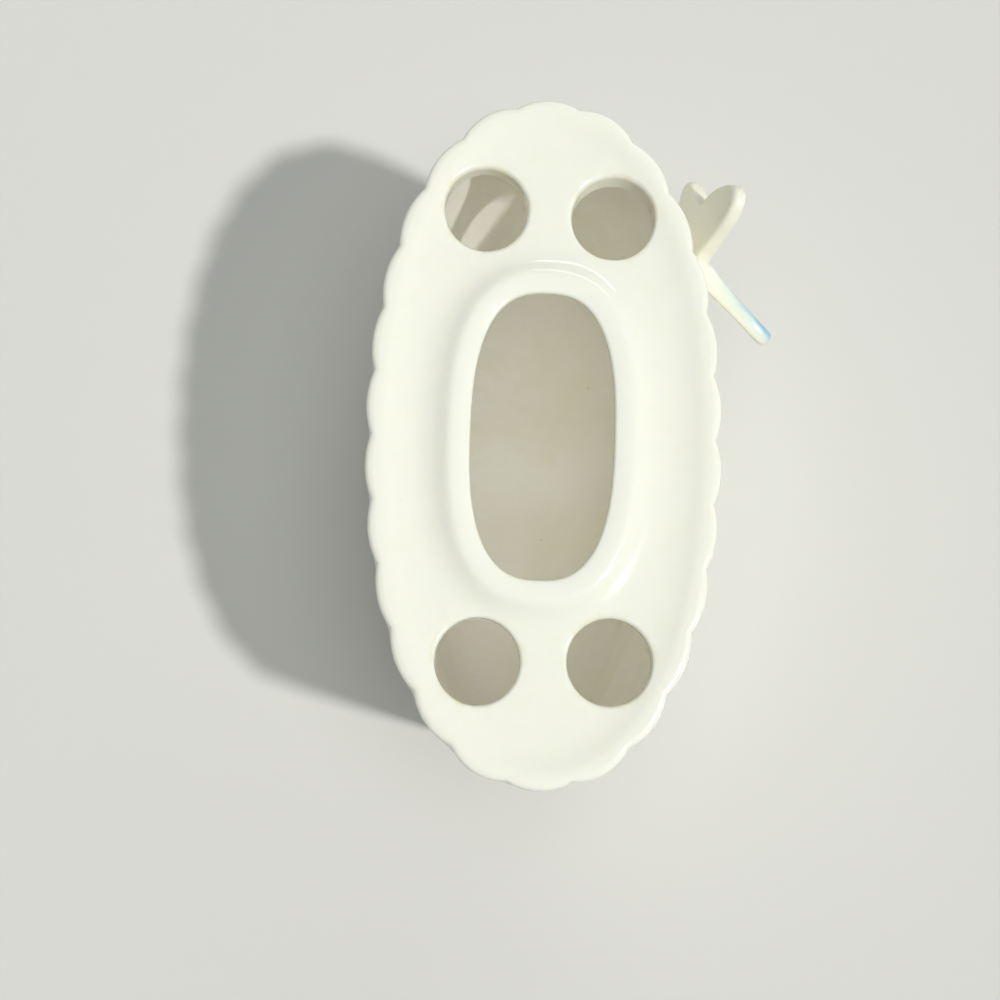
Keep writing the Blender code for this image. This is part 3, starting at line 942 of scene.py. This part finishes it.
def lift_hole_edge(mesh, centre, lean, rim, heights):
    """Sets a hole in the deck: its upper edge follows the dish, its lower end stays flat."""
    places = vertex_places(mesh)
    spread = places[:, :2]
    angles = np.arctan2(spread[:, 1], spread[:, 0]) % (2 * math.pi)
    rim_angles = np.arctan2(rim[:, 1] - centre[1], rim[:, 0] - centre[0]) % (2 * math.pi)
    order = np.argsort(rim_angles)
    lift = np.interp(angles, rim_angles[order], heights[order], period=2 * math.pi) - DECK
    depth = (places[:, 2] / (DECK_UNDER - DECK)).clip(0, 1)
    places[:, 2] += DECK + lift * (1 - depth)
    places[:, :2] += np.array(centre) + depth[:, None] * np.array(lean)
    mesh.vertices.foreach_set("co", places.ravel())
    mesh.update()


def mark_glaze(mesh, opening_ruler):
    """Attributes that say where the glaze has run thin, where the collar is painted whiter as
    painted light, and what lies inside the chamber."""
    places = vertex_places(mesh)
    thin = np.zeros(len(places))
    band_place, band_width = HOLE_BAND
    high = places[:, 2] > DECK_UNDER + BANDS_ABOVE
    for centre in HOLES:
        away = np.linalg.norm(places[:, :2] - np.array(centre), axis=1) - HOLE_RADIUS
        band = np.exp(-((away - band_place) / band_width) ** 2)
        thin = np.maximum(thin, np.where(high, band, 0.0))
    opening, _ = opening_ruler.measure(places[:, :2])
    band = 0.8 * np.exp(-(opening / OPENING_BAND) ** 2)
    thin = np.maximum(thin, np.where(high, band, 0.0))
    store(mesh, "thin_glaze", thin)
    # Painted light: a band round the opening that makes the collar whiter
    collar_light = np.where(high, np.exp(-(np.maximum(opening, 0.0) / COLLAR_LIGHT_REACH) ** 4), 0.0)
    store(mesh, "collar_painted_light", collar_light)
    draw_in = FOOT_DRAW_IN * (np.maximum(WALL_TOP - places[:, 2], 0) / WALL_TOP) ** WALL_CURVE
    middle = WALL_PROUD - draw_in - WALL / 2
    level = (np.abs(places[:, 0]) / (HALF_WIDTH + middle)) ** OVAL_POWER
    level += (np.abs(places[:, 1]) / (HALF_LENGTH + middle)) ** OVAL_POWER
    between = (places[:, 2] > FLOOR / 2) & (places[:, 2] < DECK_UNDER + CHAMBER_ABOVE)
    store(mesh, "chamber", ((level < 1) & between).astype(float))


def store(mesh, name, values):
    """Keeps one value for each point, for a glaze to read."""
    layer = mesh.attributes.new(name, "FLOAT", "POINT")
    layer.data.foreach_set("value", values.astype(np.float32))


def new_piece(name, mesh):
    """Object at the origin, with its place in its mesh."""
    piece = bpy.data.objects.new(name, mesh)
    bpy.context.scene.collection.objects.link(piece)
    return piece


def oval_normal(x, y):
    """Outward normal of the notch line's oval at a point on it."""
    slope = Vector((abs(x / HALF_WIDTH) ** (OVAL_POWER - 1) / HALF_WIDTH,
                    abs(y / HALF_LENGTH) ** (OVAL_POWER - 1) / HALF_LENGTH, 0.0))
    return slope.normalized()


def perch():
    """Middle of the butterfly and its headward, outward and lateral directions."""
    height = RIM - PERCH_DROP
    across = HALF_WIDTH * (1 - (PERCH_ALONG / HALF_LENGTH) ** OVAL_POWER) ** (1 / OVAL_POWER)
    normal = oval_normal(across, PERCH_ALONG)
    below, above = wall_draw_in(height - LEAN_STEP), wall_draw_in(height + LEAN_STEP)
    lean = math.atan2(below - above, 2 * LEAN_STEP)
    up = Vector((0, 0, 1))
    outward = (normal * math.cos(lean) - up * math.sin(lean)).normalized()
    upward = (up * math.cos(lean) + normal * math.sin(lean)).normalized()
    sideways = outward.cross(upward)
    headward = upward * math.cos(PERCH_LEAN) + sideways * math.sin(PERCH_LEAN)
    lateral = headward.cross(outward)
    surface = Vector((across, PERCH_ALONG, height))
    surface += normal * (WALL_PROUD - wall_draw_in(height) + flute_rise(height))
    return surface + outward * BODY_STANDOFF, headward, outward, lateral


# Fore and hind wing as one leaf, in spans out from the body and along it
WING_OUTLINE = (
    (0.02, 0.20), (0.20, 0.36), (0.44, 0.53), (0.67, 0.66), (0.88, 0.68), (0.985, 0.55),
    (0.96, 0.32), (0.82, 0.06), (0.63, -0.11), (0.745, -0.36), (0.79, -0.53), (0.69, -0.66),
    (0.46, -0.64), (0.22, -0.52), (0.02, -0.34),
)


def smooth_loop(points, steps):
    """Closed smooth run through the points of an outline."""
    points = np.array(points)
    run = []
    for i in range(len(points)):
        before, start, end, after = (points[(i + k) % len(points)] for k in (-1, 0, 1, 2))
        run += smooth_span(before, start, end, after, steps)
    return np.array(run)


WING_SHARES = (1.0, 0.997, 0.985, 0.965, 0.935, 0.90, 0.86, 0.80, 0.70, 0.54, 0.36, 0.18)


def wing_axes(side):
    """Directions of one wing: out along its span, and square to its outer face."""
    _, headward, outward, lateral = perch()
    spanward = lateral * (side * math.cos(WING_LIFT)) + outward * math.sin(WING_LIFT)
    return spanward, spanward.cross(headward) * side


def leaf_row(side, face, share):
    """One ring of places on a face of the leaf, at a share of its outline."""
    middle, headward, _, _ = perch()
    spanward, back = wing_axes(side)
    span = WING_SPANS[side]
    loop = smooth_loop(WING_OUTLINE, WING_STEPS) * span
    core = np.array(WING_MIDDLE) * span
    edge = min((1 - share) / WING_MARGIN, 1.0)
    thick = WING_THICKNESSES[side] / 2 * (1 - (1 - edge) ** MARGIN_POWER) ** (1 / MARGIN_POWER)
    row = []
    for x, y in core + (loop - core) * share:
        half = thick * (1 + ROOT_SWELLS[side] * math.exp(-(x / span / ROOT_REACH) ** 2))
        height = face * half + wing_cup(x / span, y / span, side) * span
        row.append(middle + spanward * x + headward * y + back * height)
    return row


def wing_leaf(side):
    """One side's leaf: thick, round-edged and hollow, with a fold between its lobes."""
    shape = bmesh.new()
    rim = [shape.verts.new(spot) for spot in leaf_row(side, 1, WING_SHARES[0])]
    for face in (1, -1):
        previous = rim
        for share in WING_SHARES[1:]:
            ring = [shape.verts.new(spot) for spot in leaf_row(side, face, share)]
            ring_faces(shape, previous, ring, flipped=face == -1)
            previous = ring
        shape.faces.new(previous if face == 1 else tuple(reversed(previous)))
    return mesh_of("leaf", shape, outward=True)


def wing_cup(out, along, side):
    """How far the leaf bends away from the wall: raised margins and a fold along the notch."""
    rim_lift = WING_HOLLOWS[side] * (out ** 2 + 0.8 * along ** 2)
    from_notch = along - NOTCH_ALONG
    fold = WING_FOLD * math.exp(-((from_notch + FOLD_SLANT * out) / FOLD_WIDTH) ** 2) * out
    hind_droop = HIND_DROOP[side] * out * min(from_notch, 0.0)
    twist = WING_TWISTS[side] * (along - TWIST_FROM)
    return rim_lift + fold + hind_droop + twist


# Body from tail to head: place along it and radius, in lengths of the body
BODY_OUTLINE = (
    (-0.56, 0.02), (-0.53, 0.075), (-0.38, 0.140), (-0.22, 0.160), (-0.12, 0.168), (-0.02, 0.180),
    (0.08, 0.188), (0.18, 0.180), (0.26, 0.160), (0.33, 0.128), (0.38, 0.080), (0.40, 0.02),
)
ABDOMEN_END = -0.10


def body_mesh():
    """Turned body with head, thorax and abdomen, ringed softly like an insect's."""
    middle, headward, outward, lateral = perch()
    depth, turns = BODY_RINGING
    shape = bmesh.new()
    rows = []
    for along, radius in eased(BODY_OUTLINE, BODY_STEPS):
        ringed = 1 + depth * math.cos(along * turns) * (along < ABDOMEN_END)
        reach = radius * ringed * BODY_LENGTH
        centre = middle + headward * (along * BODY_LENGTH)
        rows.append([
            shape.verts.new(centre + (lateral * math.cos(a) + outward * math.sin(a)) * reach)
            for a in np.linspace(0, 2 * math.pi, BODY_SIDES + 1)[:-1]
        ])
    for lower, upper in zip(rows, rows[1:]):
        ring_faces(shape, lower, upper)
    shape.faces.new(reversed(rows[0]))
    shape.faces.new(rows[-1])
    return mesh_of("body", shape, outward=True)


def make_butterfly(material):
    """Body and wings fused into one piece, the way glaze fills the joints between them."""
    shape = bmesh.new()
    for mesh in (body_mesh(), wing_leaf(1), wing_leaf(-1)):
        shape.from_mesh(mesh)
    piece = new_piece("porcelain_butterfly", mesh_of("porcelain_butterfly", shape))
    fuse = piece.modifiers.new("fuse", "REMESH")
    fuse.mode = "VOXEL"
    fuse.voxel_size = FUSE_VOXEL
    soften = piece.modifiers.new("soften", "SMOOTH")
    soften.factor = SOFTEN_SHARE
    soften.iterations = SOFTEN_ROUNDS
    bpy.context.view_layer.update()
    evaluated = piece.evaluated_get(bpy.context.evaluated_depsgraph_get())
    fused = bpy.data.meshes.new_from_object(evaluated)
    piece.modifiers.clear()
    piece.data = fused
    fused.name = "porcelain_butterfly"
    fused.shade_smooth()
    fused.materials.clear()
    fused.materials.append(material)
    mark_blue_wash(fused)
    return piece


def mark_blue_wash(mesh):
    """Attribute that says how strong the blue wash is: on the outer faces, towards the margins, and
    round the lower wing's margin, where it is partly painted shade.
    """
    normals = np.empty(len(mesh.vertices) * 3)
    mesh.vertex_normals.foreach_get("vector", normals)
    normals = normals.reshape(-1, 3)
    places = vertex_places(mesh) - np.array(perch()[0])
    wash = np.zeros(len(places))
    for side in (1, -1):
        spanward, back = wing_axes(side)
        out = places @ np.array(spanward) / WING_SPANS[side]
        # On the lower wing FROM is below zero, so the wash also covers the lit margin: painted
        # shade
        faces_out = ((normals @ np.array(back) - WASH_FROM[side]) / WASH_REACH[side]).clip(0, 1)
        towards_margin = ((out - WASH_START[side]) / WASH_BUILD_UP).clip(0, 1)
        wash = np.maximum(wash, faces_out * towards_margin ** 0.8)
    store(mesh, "blue_wash_and_shade", wash)


def make_floor():
    """Plain pale floor, wide enough to fill every view."""
    bpy.ops.mesh.primitive_plane_add(size=FLOOR_SIZE, location=(0, 0, FLOOR_HEIGHT))
    floor = bpy.context.object
    floor.name = "floor"
    material = bpy.data.materials.new("pale_floor")
    material.use_nodes = True
    shader = material.node_tree.nodes["Principled BSDF"]
    shader.inputs["Base Color"].default_value = FLOOR_COLOUR
    shader.inputs["Roughness"].default_value = FLOOR_ROUGHNESS
    shader.inputs["Specular IOR Level"].default_value = FLOOR_SPECULAR
    floor.data.materials.append(material)


def add_lamp(name, toward, strength, spread, colour):
    """Lamp far away in one direction, so that the floor is lit evenly."""
    data = bpy.data.lights.new(name, "SUN")
    data.energy = strength
    data.angle = math.radians(spread)
    data.color = colour
    lamp = bpy.data.objects.new(name, data)
    bpy.context.scene.collection.objects.link(lamp)
    lamp.rotation_euler = Vector(toward).to_track_quat("Z", "Y").to_euler()
    return lamp


def add_strip(name, place, size, power, colour):
    """Long narrow lamp that faces the rim, and draws thin bright lines on the collar."""
    data = bpy.data.lights.new(name, "AREA")
    data.shape = "RECTANGLE"
    data.size, data.size_y = size
    data.energy = power
    data.color = colour
    lamp = bpy.data.objects.new(name, data)
    bpy.context.scene.collection.objects.link(lamp)
    lamp.location = place
    facing = Vector((0, 0, RIM)) - Vector(place)
    lamp.rotation_euler = facing.to_track_quat("-Z", "Y").to_euler()


def make_lights():
    """Key from the right and the viewer's side, a soft overhead and a strip beyond."""
    add_lamp("key", **KEY_LAMP)
    overhead = add_lamp("overhead", **OVERHEAD_LAMP)
    overhead.visible_glossy = False
    add_strip("far_strip", **FAR_STRIP)


def make_room():
    """World light, low on the object and pale where the camera or a reflection sees it."""
    world = bpy.data.worlds.new("soft_room")
    world.use_nodes = True
    background = world.node_tree.nodes["Background"]
    light_path = world.node_tree.nodes.new("ShaderNodeLightPath")
    path = Field(world.node_tree, light_path.outputs["Is Camera Ray"])
    seen = path.node("ShaderNodeLightPath", output="Is Glossy Ray")
    through = path.node("ShaderNodeLightPath", output="Is Transmission Ray")
    shown = (path + seen + through).clamp()
    strength = ROOM_LIGHT + shown * (ROOM_SHOWN - ROOM_LIGHT)
    world.node_tree.links.new(strength.socket, background.inputs["Strength"])
    background.inputs["Color"].default_value = ROOM_COLOUR
    bpy.context.scene.world = world


def let_light_into_chamber():
    """White walls pass light on many times before it comes back out of the openings."""
    paths = bpy.context.scene.cycles
    paths.diffuse_bounces = CHAMBER_BOUNCES
    paths.max_bounces = CHAMBER_BOUNCES + 4


def make_camera():
    """Almost straight above, tilted a little, as the photograph was taken."""
    facing = Matrix.Rotation(CAMERA_TURN, 3, "Z") @ Matrix.Rotation(CAMERA_TILT, 3, "X")
    facing = facing @ Matrix.Rotation(CAMERA_SWING, 3, "Y")
    data = bpy.data.cameras.new("camera")
    data.sensor_width = CAMERA_SENSOR
    data.lens = CAMERA_LENS
    camera = bpy.data.objects.new("camera", data)
    bpy.context.scene.collection.objects.link(camera)
    camera.matrix_world = Matrix.Translation(CAMERA_PLACE) @ facing.to_4x4()
    bpy.context.scene.camera = camera


def build():
    """Camera, light and floor, and the two glazed pieces over the CAD nodes they replace."""
    make_camera()
    make_lights()
    make_room()
    make_floor()
    vessel = make_vessel(vessel_glaze())
    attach(vessel, "root")
    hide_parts("fluted_vessel", "holed_deck", "opening_collar")
    butterfly = make_butterfly(butterfly_glaze())
    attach(butterfly, "root")
    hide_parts("butterfly_body", "upper_wing", "lower_wing")
    bpy.context.scene.view_settings.view_transform = "Standard"
    let_light_into_chamber()


build()
